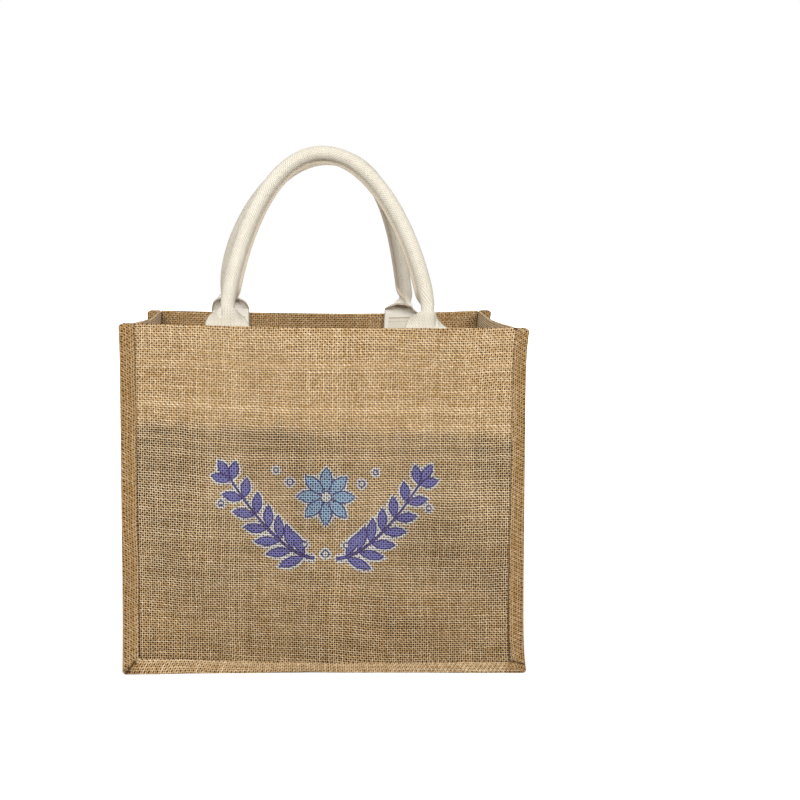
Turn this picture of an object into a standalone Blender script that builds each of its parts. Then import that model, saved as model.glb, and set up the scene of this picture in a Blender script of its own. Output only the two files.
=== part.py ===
"""Jute tote bag: two panels, one gusset strip that binds their edges, and two webbing handles.

The bag stands on the floor (z = 0) with its front towards -Y and its width along X. It is first laid
out square, layer by layer as it is sewn, and then settle() bows every layer alike, so that layers which
lie on each other keep their small gap.
"""

import math

import bmesh
import bpy
from mathutils import Vector
from mathutils.geometry import interpolate_bezier

# The bag, in metres.
WIDTH = 0.350
DEPTH = 0.200
HEIGHT = 0.303
JUTE = 0.0012
GAP = 0.0004
LAYER = JUTE + GAP

# The bound seam: gusset, panel and gusset again, standing proud of the walls.
FLANGE = 0.0120
CORNER_RADIUS = 0.0030
TURN = 0.0010
BEND = 0.0012
PANEL_INSET = 0.0013

# Hems at the mouth. The panels' hems are turned in by eye, so they are deeper at one side.
PANEL_HEMS = {
    # panel: depth at the left, depth at the right
    "front_panel": (0.078, 0.090),
    "back_panel": (0.084, 0.079),
}
GUSSET_HEM = 0.070
GUSSET_HEM_INSET = 0.0065
HEM_SIDE_CLEARANCE = 0.0016
FOLD_RADIUS = LAYER / 2
FOLD_STEPS = 3

# Handles: webbing round a rope, sewn along the inner side and flat at both ends.
WEBBING_WIDTH = 0.037
WEBBING = 0.0018
ROPE_RADIUS = 0.0065
SEAM_WIDTH = 0.0038
SEAM_THICKNESS = 0.0034
TAB_LENGTH = 0.038
TAB_TOP = 0.0025
NECK_HEIGHT = 0.020
NECK_SHRINK = 0.84
ROPE_END = 0.034
SEAM_START = 0.042
HANDLE_LEAN = 0.060
PATCH = 0.0015
PATCH_DROP = 0.004
PATCH_LENGTH = 0.034

# How the empty bag stands: it leans a little to its left, its sides are drawn in between mouth and foot,
# its corners stand higher than the middle of the mouth, and its panels and sides bow.
FOOT_OUT = {-1: -0.0007, 1: 0.0040}
MOUTH_OUT = {-1: 0.0019, 1: -0.0018}
WAIST = {-1: 0.0008, 1: 0.0034}
CORNER_RISE = {(-1, -1): 0.0022, (1, -1): 0.0018, (-1, 1): 0.0014, (1, 1): 0.0058}
BELLY = 0.0050
MOUTH_BOW = 0.0030
FOOT_TUCK = 0.0030
SIDE_BOW = 0.0050
SIDE_DIP = 0.0025
BOTTOM_SAG = 0.0060

# Width of the binding on the face of the panels, along the seam from mouth to mouth.
BINDING_WIDTHS = [
    # place on the seam, width
    ("left mouth", 0.0120),
    ("left foot", 0.0135),
    ("bottom middle", 0.0095),
    ("right foot", 0.0110),
    ("right mouth", 0.0130),
]

# Heights of the rows of the cloth, as shares of the wall from foot to mouth.
ROWS = [0.0, 0.035, 0.08, 0.16, 0.27, 0.40, 0.54, 0.68, 0.82, 0.92, 1.0]
BOTTOM_COLUMNS = 10
CORNER_STEPS = 3

JUTE_COLOUR = (0.36, 0.23, 0.11)
COTTON_COLOUR = (0.80, 0.75, 0.62)


def remove_old_objects():
    for old in list(bpy.data.objects):
        bpy.data.objects.remove(old, do_unlink=True)


def material(name, colour, roughness):
    made = bpy.data.materials.new(name)
    made.use_nodes = True
    shader = made.node_tree.nodes["Principled BSDF"]
    shader.inputs["Base Color"].default_value = (*colour, 1.0)
    shader.inputs["Roughness"].default_value = roughness
    shader.inputs["Metallic"].default_value = 0.0
    return made


def blend(start, end, share):
    return start + (end - start) * share


def smooth(share):
    share = min(max(share, 0.0), 1.0)
    return share * share * (3 - 2 * share)


def settle(x, y, z):
    """Takes a point of the squared-up bag to where it is on the bag as it stands."""
    side = 1 if x > 0 else -1
    across = min(abs(x) / (WIDTH / 2), 1.0)
    through = max(min(y / (DEPTH / 2), 1.0), -1.0)
    up = min(max(z / HEIGHT, 0.0), 1.0)
    middle = math.cos(math.pi / 2 * across) ** 2
    between = math.cos(math.pi / 2 * through) ** 2

    out = blend(FOOT_OUT[side], MOUTH_OUT[side], up) - WAIST[side] * (1 - abs(2 * up - 1) ** 8)
    bowed_in = SIDE_BOW * smooth(up * 2) * between * across**6
    new_x = x + side * (across * out - bowed_in)

    belly = BELLY * math.sin(math.pi * up**0.8) + MOUTH_BOW * up**3 - FOOT_TUCK * (1 - up) ** 4
    new_y = y + through * belly * middle

    corners = blend(CORNER_RISE[side, -1], CORNER_RISE[side, 1], (through + 1) / 2)
    new_z = z + (corners * across**1.8 - SIDE_DIP * between * across**6) * up**4
    return Vector((new_x, new_y, new_z))


def cloth(name, columns, rows, place, thickness, finish, keep=None):
    """A sheet of cloth: a grid of columns and rows, each crossing put in its place, then thickened."""
    mesh = bpy.data.meshes.new(name)
    grid = bmesh.new()
    bmesh.ops.create_grid(
        grid, x_segments=len(columns) - 1, y_segments=len(rows) - 1, size=0.5
    )
    across = {
        v: (
            round((v.co.x + 0.5) * (len(columns) - 1)),
            round((v.co.y + 0.5) * (len(rows) - 1)),
        )
        for v in grid.verts
    }
    if keep:
        unwanted = [
            face
            for face in grid.faces
            if not all(keep(columns[across[v][0]], rows[across[v][1]]) for v in face.verts)
        ]
        bmesh.ops.delete(grid, geom=unwanted, context="FACES")
    for vert in grid.verts:
        column, row = across[vert]
        vert.co = place(columns[column], rows[row])
    grid.to_mesh(mesh)
    grid.free()
    made = bpy.data.objects.new(name, mesh)
    bag.objects.link(made)
    made.data.materials.append(finish)
    thick = made.modifiers.new("Cloth", "SOLIDIFY")
    thick.thickness = thickness
    thick.offset = 0.0
    thick.use_even_offset = True
    thick.use_quality_normals = True
    return made


# The mouth: rows past the wall turn over the top edge and run down inside as the hem.

WALL_TOP = HEIGHT - JUTE / 2 - FOLD_RADIUS


def hem_rows(length, steps):
    """Rows of a hem, as (angle turned over the edge, distance run down inside)."""
    turned = [(math.pi * i / FOLD_STEPS, 0.0) for i in range(1, FOLD_STEPS + 1)]
    return turned + [(math.pi, length * i / steps) for i in range(1, steps + 1)]


def hem_place(turned, run):
    """How far inward a hem row lies from its wall, and at what height."""
    inward = FOLD_RADIUS * (1 - math.cos(turned))
    return inward, WALL_TOP + FOLD_RADIUS * math.sin(turned) - run


# The gusset.

WALL_OUT = WIDTH / 2 - FLANGE
OUTER = FLANGE - JUTE / 2
BINDING_Y = DEPTH / 2 - JUTE / 2
PANEL_Y = BINDING_Y - LAYER
INNER_FLANGE_Y = BINDING_Y - 2 * LAYER
WALL_REACH = DEPTH / 2 - GUSSET_HEM_INSET


def binding_width(share):
    """The width of the binding at a share of the way along the seam."""
    places = len(BINDING_WIDTHS) - 1
    at = min(int(share * places), places - 1)
    return blend(BINDING_WIDTHS[at][1], BINDING_WIDTHS[at + 1][1], smooth(share * places - at))


def gusset_columns():
    """Across the strip, front to back: (kind, distance out from the wall, depth)."""
    front = [
        ("binding end", None, -BINDING_Y),
        ("flange", OUTER - TURN, -BINDING_Y),
        ("flange", OUTER, -BINDING_Y + TURN),
        ("flange", OUTER, -INNER_FLANGE_Y - TURN),
        ("flange", OUTER - TURN, -INNER_FLANGE_Y),
        ("flange", BEND, -INNER_FLANGE_Y),
        ("flange", BEND * 0.3, -INNER_FLANGE_Y + BEND * 0.3),
        ("flange", 0.0, -INNER_FLANGE_Y + BEND),
    ]
    wall = [("wall", 0.0, WALL_REACH * share) for share in (-1, -0.75, -0.38, 0, 0.38, 0.75, 1)]
    back = [(kind, out, -depth) for kind, out, depth in reversed(front)]
    return front + wall + back


def gusset_rows():
    """Along the strip, mouth to mouth: (stretch, position on it)."""
    hem = hem_rows(GUSSET_HEM, 3)
    rows = [("left hem", row) for row in reversed(hem)]
    rows += [("left", share) for share in reversed(ROWS)]
    rows += [("left corner", i / CORNER_STEPS) for i in range(1, CORNER_STEPS)]
    rows += [("bottom", i / BOTTOM_COLUMNS) for i in range(BOTTOM_COLUMNS + 1)]
    rows += [("right corner", 1 - i / CORNER_STEPS) for i in range(1, CORNER_STEPS)]
    rows += [("right", share) for share in ROWS]
    return rows + [("right hem", row) for row in hem]


def seam_share(stretch, position):
    """How far along the seam a row lies, from 0 at the left mouth to 1 at the right mouth."""
    if stretch == "bottom":
        return blend(0.25, 0.75, position)
    from_foot = position if stretch in ("left", "right") else 1.0 if "hem" in stretch else 0.0
    return blend(0.25, 0.0, from_foot) if "left" in stretch else blend(0.75, 1.0, from_foot)


def seam_point(stretch, position, out):
    """A point of the U that the gusset follows, out metres outside the wall, as (x, z)."""
    half = WALL_OUT + out
    floor = FLANGE - out
    side = -1 if "left" in stretch else 1
    if "hem" in stretch:
        inward, height = hem_place(*position)
        return side * (half - inward), height
    if stretch in ("left", "right"):
        return side * half, blend(floor + CORNER_RADIUS, WALL_TOP, position)
    if stretch == "bottom":
        return blend(-half + CORNER_RADIUS, half - CORNER_RADIUS, position), floor
    turn = math.pi / 2 * position
    return (
        side * (half - CORNER_RADIUS * (1 - math.cos(turn))),
        floor + CORNER_RADIUS * (1 - math.sin(turn)),
    )


def gusset_place(column, row):
    kind, out, depth = column
    if kind == "binding end":
        out = FLANGE - binding_width(seam_share(*row))
    x, z = seam_point(*row, out)
    if kind == "wall" and row[0] == "bottom":
        along = math.sin(math.pi * row[1])
        z -= BOTTOM_SAG * math.cos(math.pi / 2 * depth / WALL_REACH) ** 2 * along**0.5
    return settle(x, depth, z)


def make_gusset():
    return cloth(
        "gusset",
        gusset_columns(),
        gusset_rows(),
        gusset_place,
        JUTE,
        jute,
        keep=lambda column, row: "hem" not in row[0] or column[0] == "wall",
    )


# The panels.

PANEL_OUT = OUTER - PANEL_INSET
HEM_HALF_WIDTH = WALL_OUT - JUTE / 2 - HEM_SIDE_CLEARANCE


def panel_columns():
    """Across a panel, left to right."""
    edge = WALL_OUT + PANEL_OUT
    shares = [2 * i / BOTTOM_COLUMNS - 1 for i in range(BOTTOM_COLUMNS + 1)]
    hemmed = [HEM_HALF_WIDTH * share for share in shares]
    return [-edge, -edge + CORNER_RADIUS] + hemmed + [edge - CORNER_RADIUS, edge]


def panel_rows():
    """Up a panel and over the mouth: (stretch, position on it)."""
    rows = [("foot", 0.0)] + [("face", share) for share in ROWS]
    return rows + [("hem", row) for row in hem_rows(1.0, 4)]


def panel_place(name, front_or_back):
    left_hem, right_hem = PANEL_HEMS[name]

    def place(x, row):
        stretch, position = row
        foot = FLANGE - PANEL_OUT
        inward = 0.0
        z = foot
        if stretch == "face":
            z = blend(foot + CORNER_RADIUS, WALL_TOP, position)
        elif stretch == "hem":
            turned, run = position
            hem = blend(left_hem, right_hem, x / WIDTH + 0.5)
            inward, z = hem_place(turned, run * hem)
        edge = WALL_OUT + PANEL_OUT
        if stretch == "foot" and abs(x) > edge - CORNER_RADIUS / 2:
            cut = CORNER_RADIUS * (1 - math.sqrt(0.5))
            x = math.copysign(edge - cut, x)
            z += cut
        return settle(x, front_or_back * (PANEL_Y - inward), z)

    return place


def make_panel(name, front_or_back):
    return cloth(
        name,
        panel_columns(),
        panel_rows(),
        panel_place(name, front_or_back),
        JUTE,
        jute,
        keep=lambda x, row: row[0] != "hem" or abs(x) <= HEM_HALF_WIDTH + GAP,
    )


# The handles.

HEM_INNER_Y = PANEL_Y - LAYER - JUTE / 2
TAB_Y = HEM_INNER_Y - GAP - WEBBING / 2
PATCH_Y = TAB_Y - WEBBING / 2 - GAP - PATCH / 2

# Each handle: front (-1) or back (1), where its top is across the bag, and how high above the mouth.
HANDLES = [
    # name, front or back, top, rise
    ("handle_front", -1, -0.0040, 0.1515),
    ("handle_back", 1, 0.0020, 0.1550),
]
# Each leg, left and right: where its tab is across the bag, how far its neck lies outside the tab's
# middle, and the pulls on its curve: inward and upward at the neck, and sideways at the top.
LEGS = {
    # tab, neck out, inward, upward, at the top
    "handle_front": [(-0.0847, 0.0000, 0.0050, 0.044, 0.051), (0.0852, 0.0010, 0.0050, 0.043, 0.052)],
    "handle_back": [(-0.0917, 0.0030, -0.0060, 0.048, 0.056), (0.0822, 0.0030, 0.0095, 0.050, 0.062)],
}
ARCH_STEPS = 13
DOME_STEPS = 5
HALF_SECTION = 5


def leg_section(rise):
    """The section of a leg: the rope, and the sewn edges of the webbing on its inner side."""
    size = blend(NECK_SHRINK, 1.0, smooth((rise - NECK_HEIGHT) / (ROPE_END - NECK_HEIGHT)))
    seam = SEAM_WIDTH * smooth((rise - NECK_HEIGHT) / (SEAM_START - NECK_HEIGHT))
    radius = ROPE_RADIUS * size
    tip = radius + seam, SEAM_THICKNESS / 2
    root = math.asin(SEAM_THICKNESS / 2 / radius)
    angles = [blend(root, math.pi, i / (HALF_SECTION - 0.5)) for i in range(HALF_SECTION)]
    upper = [(radius * math.cos(a), radius * math.sin(a)) for a in angles]
    lower = [(u, -v) for u, v in reversed(upper)]
    return [(tip[0], -tip[1]), tip] + upper + lower


def flat_tab():
    """The section of a handle's end: the webbing, flat."""
    half, thick = WEBBING_WIDTH / 2, WEBBING / 2
    upper = [(half * (1 - 2 * i / HALF_SECTION), thick) for i in range(1, HALF_SECTION + 1)]
    lower = [(u, -v) for u, v in reversed(upper)]
    return [(half, -thick), (half, thick)] + upper + lower


def leg_stations(top, top_rise, tab, neck_out, draw, leg_pull, top_pull):
    """Along one leg, from the tab's end to the top: (x, rise above the mouth, flatness)."""
    side = math.copysign(1, tab)
    stations = [(tab, -TAB_LENGTH, 1.0), (tab, -TAB_LENGTH / 2, 1.0)]
    for i in range(DOME_STEPS + 1):
        share = smooth(i / DOME_STEPS)
        rise = blend(TAB_TOP, NECK_HEIGHT, i / DOME_STEPS)
        stations.append((tab + side * neck_out * share, rise, 1 - share))
    start = Vector((tab + side * neck_out, NECK_HEIGHT))
    end = Vector((top, top_rise))
    leg_knot = start + Vector((-side * draw, leg_pull))
    top_knot = end + Vector((side * top_pull, 0))
    curve = interpolate_bezier(start, leg_knot, top_knot, end, ARCH_STEPS + 1)
    return stations + [(point.x, point.y, 0.0) for point in curve[1:]]


def make_handle(name, front_or_back, top, top_rise):
    left, right = (leg_stations(top, top_rise, *leg) for leg in LEGS[name])
    stations = left + right[-2::-1]
    centres = []
    for x, rise, _ in stations:
        lean = HANDLE_LEAN * (max(rise, 0.0) / top_rise) ** 1.2
        centres.append(Vector((x, front_or_back * (TAB_Y - lean), HEIGHT + rise)))

    mesh = bpy.data.meshes.new(name)
    loft = bmesh.new()
    rings = []
    for i, (_, rise, flatness) in enumerate(stations):
        along = (centres[min(i + 1, len(centres) - 1)] - centres[max(i - 1, 0)]).normalized()
        thick = Vector((0, 1, 0))
        thick = (thick - along * thick.dot(along)).normalized()
        inner = thick.cross(along)
        ring = []
        for (leg_u, leg_v), (tab_u, tab_v) in zip(leg_section(rise), flat_tab()):
            u = blend(leg_u, tab_u, flatness)
            v = blend(leg_v, tab_v, flatness)
            point = centres[i] + inner * u + thick * v
            ring.append(loft.verts.new(settle(*point)))
        rings.append(ring)
    for ring, following in zip(rings, rings[1:]):
        for i, vert in enumerate(ring):
            beside = (i + 1) % len(ring)
            loft.faces.new((vert, ring[beside], following[beside], following[i]))
    loft.faces.new(rings[0])
    loft.faces.new(rings[-1])
    bmesh.ops.recalc_face_normals(loft, faces=loft.faces)
    loft.to_mesh(mesh)
    loft.free()
    made = bpy.data.objects.new(name, mesh)
    bag.objects.link(made)
    made.data.materials.append(cotton)
    mesh.shade_smooth()
    mesh.set_sharp_from_angle(angle=math.radians(40))
    return made


def make_patches(handle, front_or_back):
    for side, leg in zip(("left", "right"), LEGS[handle]):
        columns = [leg[0] + WEBBING_WIDTH * share for share in (-0.5, 0, 0.5)]
        top = HEIGHT - PATCH_DROP
        rows = [top - PATCH_LENGTH * share for share in (1, 0.5, 0)]
        name = f"patch_{handle.split('_')[1]}_{side}"
        depth = front_or_back * PATCH_Y
        cloth(name, columns, rows, lambda x, z: settle(x, depth, z), PATCH, cotton)


remove_old_objects()
bag = bpy.data.collections.new("jute tote bag")
bpy.context.scene.collection.children.link(bag)
jute = material("jute", JUTE_COLOUR, 0.95)
cotton = material("cotton webbing", COTTON_COLOUR, 0.85)

make_panel("front_panel", -1)
make_panel("back_panel", 1)
make_gusset()
for handle, face, top, top_rise in HANDLES:
    make_handle(handle, face, top, top_rise)
    make_patches(handle, face)
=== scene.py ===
"""A jute tote bag with rope-cored handles of cream cotton webbing, in metres.

Every sheet of cloth hangs where its solid does, and its yarns are woven in the shader.
"""

import math

import bmesh
import bpy
from mathutils import Matrix, Vector, noise
from mathutils.geometry import interpolate_bezier


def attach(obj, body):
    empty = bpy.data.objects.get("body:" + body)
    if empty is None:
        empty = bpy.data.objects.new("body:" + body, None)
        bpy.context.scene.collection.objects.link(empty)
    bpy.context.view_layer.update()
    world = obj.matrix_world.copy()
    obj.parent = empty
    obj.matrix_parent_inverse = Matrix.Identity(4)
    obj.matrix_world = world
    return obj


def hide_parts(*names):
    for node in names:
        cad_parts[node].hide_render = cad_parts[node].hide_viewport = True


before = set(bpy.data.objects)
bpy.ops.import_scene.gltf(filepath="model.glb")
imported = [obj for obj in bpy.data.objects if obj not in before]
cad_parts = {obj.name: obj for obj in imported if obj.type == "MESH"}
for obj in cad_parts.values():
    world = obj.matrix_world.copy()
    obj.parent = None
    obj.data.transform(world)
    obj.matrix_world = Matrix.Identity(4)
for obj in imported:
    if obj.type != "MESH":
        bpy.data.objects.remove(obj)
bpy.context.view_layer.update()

# The panels are two rectangles of natural jute hessian, front and back. Each one's top is turned in by
# eye as a deep hem; the other three edges end inside the binding. The empty bag leans a little to the
# left, its sides are drawn in between mouth and foot, and its cloth bows and ripples.
WIDTH = 0.350
DEPTH = 0.200
HEIGHT = 0.303
JUTE = 0.0012
GAP = 0.0004
LAYER = JUTE + GAP
FLANGE = 0.0120
CORNER_RADIUS = 0.0030
PANEL_INSET = 0.0013
FOLD_RADIUS = LAYER / 2
WALL_TOP = HEIGHT - JUTE / 2 - FOLD_RADIUS
WALL_OUT = WIDTH / 2 - FLANGE
OUTER = FLANGE - JUTE / 2
BINDING_Y = DEPTH / 2 - JUTE / 2
PANEL_Y = BINDING_Y - LAYER
PANEL_OUT = OUTER - PANEL_INSET
HEM_CLEAR = 0.0016
HEM_HALF_WIDTH = WALL_OUT - JUTE / 2 - HEM_CLEAR
PANEL_HEMS = {
    # panel: depth at the left, depth at the right
    "front_panel": (0.078, 0.090),
    "back_panel": (0.084, 0.079),
}

FOOT_OUT = {-1: -0.0007, 1: 0.0040}
MOUTH_OUT = {-1: 0.0019, 1: -0.0018}
WAIST = {-1: 0.0008, 1: 0.0034}
WEFT_SLANT = 0.085
CORNER_RISE = {(-1, -1): 0.0022, (1, -1): 0.0018, (-1, 1): 0.0014, (1, 1): 0.0058}
BELLY = 0.0050
MOUTH_BOW = 0.0030
FOOT_TUCK = 0.0030
SIDE_BOW = 0.0050
SIDE_DIP = 0.0025
BOTTOM_SAG = 0.0060
RIPPLES = [
    # ripples per metre, height
    (14, 0.0011),
    (38, 0.0004),
    (105, 0.00016),
]
RIPPLES_UP = 0.7  # for each ripple across the cloth
EDGE_ROUNDING = 0.3  # share of the cloth's thickness
EDGE_ANGLE = 62
CLOTH_STEP = 0.0030
PANEL_HEM_STEP = 0.04  # share of the hem's depth
FOLD_STEPS = 8


def blend(start, end, share):
    return start + (end - start) * share


def smooth(share):
    share = min(max(share, 0.0), 1.0)
    return share * share * (3 - 2 * share)


def ripple(across, up, sheet):
    """How far the cloth stands proud of its even shape."""
    return sum(
        height * noise.noise(Vector((across * count, up * count * RIPPLES_UP, sheet)))
        for count, height in RIPPLES
    )


def settle(x, y, z):
    """Takes a point of the squared-up bag to where it is on the bag as it stands."""
    side = 1 if x > 0 else -1
    across = min(abs(x) / (WIDTH / 2), 1.0)
    through = max(min(y / (DEPTH / 2), 1.0), -1.0)
    up = min(max(z / HEIGHT, 0.0), 1.0)
    middle = math.cos(math.pi / 2 * across) ** 2
    between = math.cos(math.pi / 2 * through) ** 2

    out = blend(FOOT_OUT[side], MOUTH_OUT[side], up) - WAIST[side] * (1 - abs(2 * up - 1) ** 8)
    bowed_in = SIDE_BOW * smooth(up * 2) * between * across**6
    new_x = x + side * (across * out - bowed_in)
    new_x += side * ripple(y, z, 7 * side) * smooth(between * 4) * across**4

    belly = BELLY * math.sin(math.pi * up**0.8) + MOUTH_BOW * up**3 - FOOT_TUCK * (1 - up) ** 4
    face = math.copysign(1, y)
    new_y = y + through * belly * middle + face * ripple(x, z, 3 * face) * abs(through) ** 4

    corners = blend(CORNER_RISE[side, -1], CORNER_RISE[side, 1], (through + 1) / 2)
    new_z = z + (corners * across**1.8 - SIDE_DIP * between * across**6) * up**4
    return Vector((new_x, new_y, new_z))


def steps(start, end, step):
    """Even steps from start to end, both kept."""
    count = max(1, round(abs(end - start) / step))
    return [blend(start, end, i / count) for i in range(count + 1)]


def sew(name, columns, rows, place, thickness, keep=None):
    """A sheet of cloth. place gives each crossing's place and where it lay on the flat cloth, which is
    kept as its UV in metres. The sheet is then given its thickness, and its cut edges are rounded."""
    last_column = len(columns) - 1
    last_row = len(rows) - 1
    grid = bmesh.new()
    bmesh.ops.create_grid(grid, x_segments=last_column, y_segments=last_row, size=0.5)
    crossing = {
        v: (round((v.co.x + 0.5) * last_column), round((v.co.y + 0.5) * last_row)) for v in grid.verts
    }
    if keep:
        unwanted = [
            face
            for face in grid.faces
            if not all(keep(columns[crossing[v][0]], rows[crossing[v][1]]) for v in face.verts)
        ]
        bmesh.ops.delete(grid, geom=unwanted, context="FACES")
    flat = {}
    for vert in grid.verts:
        column, row = crossing[vert]
        vert.co, flat[vert] = place(columns[column], rows[row])
    return thickened(name, cloth_mesh(name, grid, flat), thickness)


def cloth_mesh(name, shape, flat):
    """The shape as a smooth mesh, with each corner's place on the flat cloth as its UV."""
    uv = shape.loops.layers.uv.new("cloth")
    for face in shape.faces:
        face.smooth = True
        for loop in face.loops:
            loop[uv].uv = flat[loop.vert]
    return as_mesh(name, shape)


def as_mesh(name, shape):
    """The shape as a mesh, and the shape itself freed."""
    mesh = bpy.data.meshes.new(name)
    shape.to_mesh(mesh)
    shape.free()
    return mesh


def put_up(name, data):
    """A new object in the scene."""
    made = bpy.data.objects.new(name, data)
    bpy.context.scene.collection.objects.link(made)
    return made


def thickened(name, mesh, thickness):
    """The sheet with its thickness, its cut edges rounded, as a plain mesh."""
    made = put_up(name, mesh)
    thick = made.modifiers.new("thickness", "SOLIDIFY")
    thick.thickness = thickness
    thick.offset = 0.0
    thick.use_even_offset = True
    thick.use_quality_normals = True
    rounded = made.modifiers.new("cut edges", "BEVEL")
    rounded.width = thickness * EDGE_ROUNDING
    rounded.segments = 2
    rounded.limit_method = "ANGLE"
    rounded.angle_limit = math.radians(EDGE_ANGLE)
    return plain(made)


def plain(made):
    """Turns what the modifiers make into the object's own mesh."""
    shown = made.evaluated_get(bpy.context.evaluated_depsgraph_get())
    mesh = bpy.data.meshes.new_from_object(shown)
    made.modifiers.clear()
    made.data = mesh
    mesh.name = made.name
    return made


def hem_rows(length, step):
    """Rows of a hem, as (angle turned over the edge, distance run down inside)."""
    turned = [(math.pi * i / FOLD_STEPS, 0.0) for i in range(1, FOLD_STEPS + 1)]
    return turned + [(math.pi, run) for run in steps(0.0, length, step)[1:]]


def hem_place(turned, run):
    """How far inward a hem row lies from its wall, its height, and its distance along the cloth."""
    inward = FOLD_RADIUS * (1 - math.cos(turned))
    height = WALL_TOP + FOLD_RADIUS * math.sin(turned) - run
    return inward, height, WALL_TOP + FOLD_RADIUS * turned + run


def slant(x, z):
    """How much further up the cloth a weft yarn lies than its height says: low on the left, the yarns
    run down to the right."""
    return WEFT_SLANT * (1 - z / HEIGHT) * (0.5 * x - x * x / (2 * WIDTH))


def panel_columns():
    """Across a panel, from raw edge to raw edge."""
    edge = WALL_OUT + PANEL_OUT
    margin = [-edge, -edge + CORNER_RADIUS, -edge + 2 * CORNER_RADIUS]
    middle = steps(-HEM_HALF_WIDTH, HEM_HALF_WIDTH, CLOTH_STEP)
    return margin + middle + [-x for x in reversed(margin)]


def panel_rows():
    """Up a panel and over the mouth: (stretch, position on it)."""
    foot = FLANGE - PANEL_OUT
    face = steps(foot + CORNER_RADIUS, WALL_TOP, CLOTH_STEP)
    rows = [("foot", foot)] + [("face", z) for z in face]
    return rows + [("hem", row) for row in hem_rows(1.0, PANEL_HEM_STEP)]


def panel_place(name, front_or_back):
    """Where a column and a row of one panel cross, on the bag and on the flat cloth."""
    left_hem, right_hem = PANEL_HEMS[name]

    def place(x, row):
        stretch, z = row
        inward = 0.0
        if stretch == "hem":
            hem = blend(left_hem, right_hem, x / WIDTH + 0.5)
            turned, run = row[1]
            inward, z, cloth = hem_place(turned, run * hem)
        else:
            cloth = z
        edge = WALL_OUT + PANEL_OUT
        if stretch == "foot" and abs(x) > edge - CORNER_RADIUS / 2:
            cut = CORNER_RADIUS * (1 - math.sqrt(0.5))
            x = math.copysign(edge - cut, x)
            z += cut
        return settle(x, front_or_back * (PANEL_Y - inward), z), (x, cloth + slant(x, z))

    return place


panels = {
    name: sew(
        name + "_cloth",
        panel_columns(),
        panel_rows(),
        panel_place(name, face),
        JUTE,
        keep=lambda x, row: row[0] != "hem" or abs(x) <= HEM_HALF_WIDTH + 1e-6,
    )
    for name, face in (("front_panel", -1), ("back_panel", 1))
}


# Jute is a plain weave of coarse, hairy yarns of uneven thickness and colour, from pale straw to brown,
# with small holes between them. The group weaves any such cloth from its place on the flat cloth.


class Reckoned:
    """A socket that can be reckoned with like a number."""

    def __init__(self, tree, socket):
        self.tree = tree
        self.socket = socket

    def __add__(self, other):
        return reckon("ADD", self, other)

    def __sub__(self, other):
        return reckon("SUBTRACT", self, other)

    def __rsub__(self, other):
        return reckon("SUBTRACT", other, self)

    def __mul__(self, other):
        return reckon("MULTIPLY", self, other)

    def __truediv__(self, other):
        return reckon("DIVIDE", self, other)

    def __rtruediv__(self, other):
        return reckon("DIVIDE", other, self)

    def __neg__(self):
        return self * -1.0

    def __abs__(self):
        return reckon("ABSOLUTE", self)

    __radd__ = __add__
    __rmul__ = __mul__


def plug(source, socket):
    """Joins a source to a socket, or sets the socket where the source is a plain value."""
    if isinstance(source, Reckoned):
        source.tree.links.new(source.socket, socket)
    else:
        socket.default_value = source


def put(tree, kind, inputs=None, output=0, **settings):
    """A node with its settings and inputs, and one of its outputs."""
    node = tree.nodes.new(kind)
    for setting, value in settings.items():
        setattr(node, setting, value)
    for socket, source in (inputs or {}).items():
        plug(source, node.inputs[socket])
    return Reckoned(tree, node.outputs[output])


def reckon(operation, *sources):
    """One step of arithmetic between sockets and plain numbers."""
    tree = next(source.tree for source in sources if isinstance(source, Reckoned))
    node = tree.nodes.new("ShaderNodeMath")
    node.operation = operation
    for socket, source in zip(node.inputs, sources):
        plug(source, socket)
    return Reckoned(tree, node.outputs[0])


def rise(value, low, high):
    """0 where the value is under low, 1 where it is over high, and smooth between."""
    limits = {"Value": value, "From Min": low, "From Max": high}
    return put(value.tree, "ShaderNodeMapRange", limits, interpolation_type="SMOOTHSTEP")


def mixed(share, first, second):
    """A colour between two colours."""
    sockets = {0: share, 6: first, 7: second}
    return put(share.tree, "ShaderNodeMix", sockets, output=2, data_type="RGBA")


def point(x, y, z=0.0):
    """A place from its three sizes, of which the first is a socket."""
    return put(x.tree, "ShaderNodeCombineXYZ", {0: x, 1: y, 2: z})


def parts_of(vector):
    """The three sizes that a place or a colour is made of."""
    split = vector.tree.nodes.new("ShaderNodeSeparateXYZ")
    plug(vector, split.inputs[0])
    return [Reckoned(vector.tree, socket) for socket in split.outputs]


def mottle(place, scale, detail=0.0):
    """Cloudy noise, about -1 to 1."""
    sockets = {"Vector": place, "Scale": scale, "Detail": detail}
    cloudy = put(place.tree, "ShaderNodeTexNoise", sockets, noise_dimensions="2D")
    return (cloudy - 0.5) * 2.8


def new_group(name, inputs, outputs, kind="ShaderNodeTree"):
    """An empty node group: its tree, its inputs by name, and its output node."""
    tree = bpy.data.node_groups.new(name, kind)
    for way, sockets in (("INPUT", inputs), ("OUTPUT", outputs)):
        for socket, holds in sockets:
            tree.interface.new_socket(socket, in_out=way, socket_type=holds)
    entry = tree.nodes.new("NodeGroupInput")
    ready = tree.nodes.new("NodeGroupOutput")
    return tree, {s.name: Reckoned(tree, s) for s in entry.outputs if s.name}, ready


NUMBER = "NodeSocketFloat"
VECTOR = "NodeSocketVector"
# how the yarns wander aside: wide bends for each metre and their depth in yarns, and then narrow ones
WARP_WANDER = (9.0, 0.9, 70.0, 0.16)
WEFT_WANDER = (7.0, 1.3, 60.0, 0.18)
# Noise is read down a lane for each yarn: how far apart the lanes lie, and how far down them one
# crossing goes for slubs, for swerves and for patches of colour.
YARN_LANE = 7.31
SLUBS = 0.13
SWERVES = 0.09
PATCHES = 0.5
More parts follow.
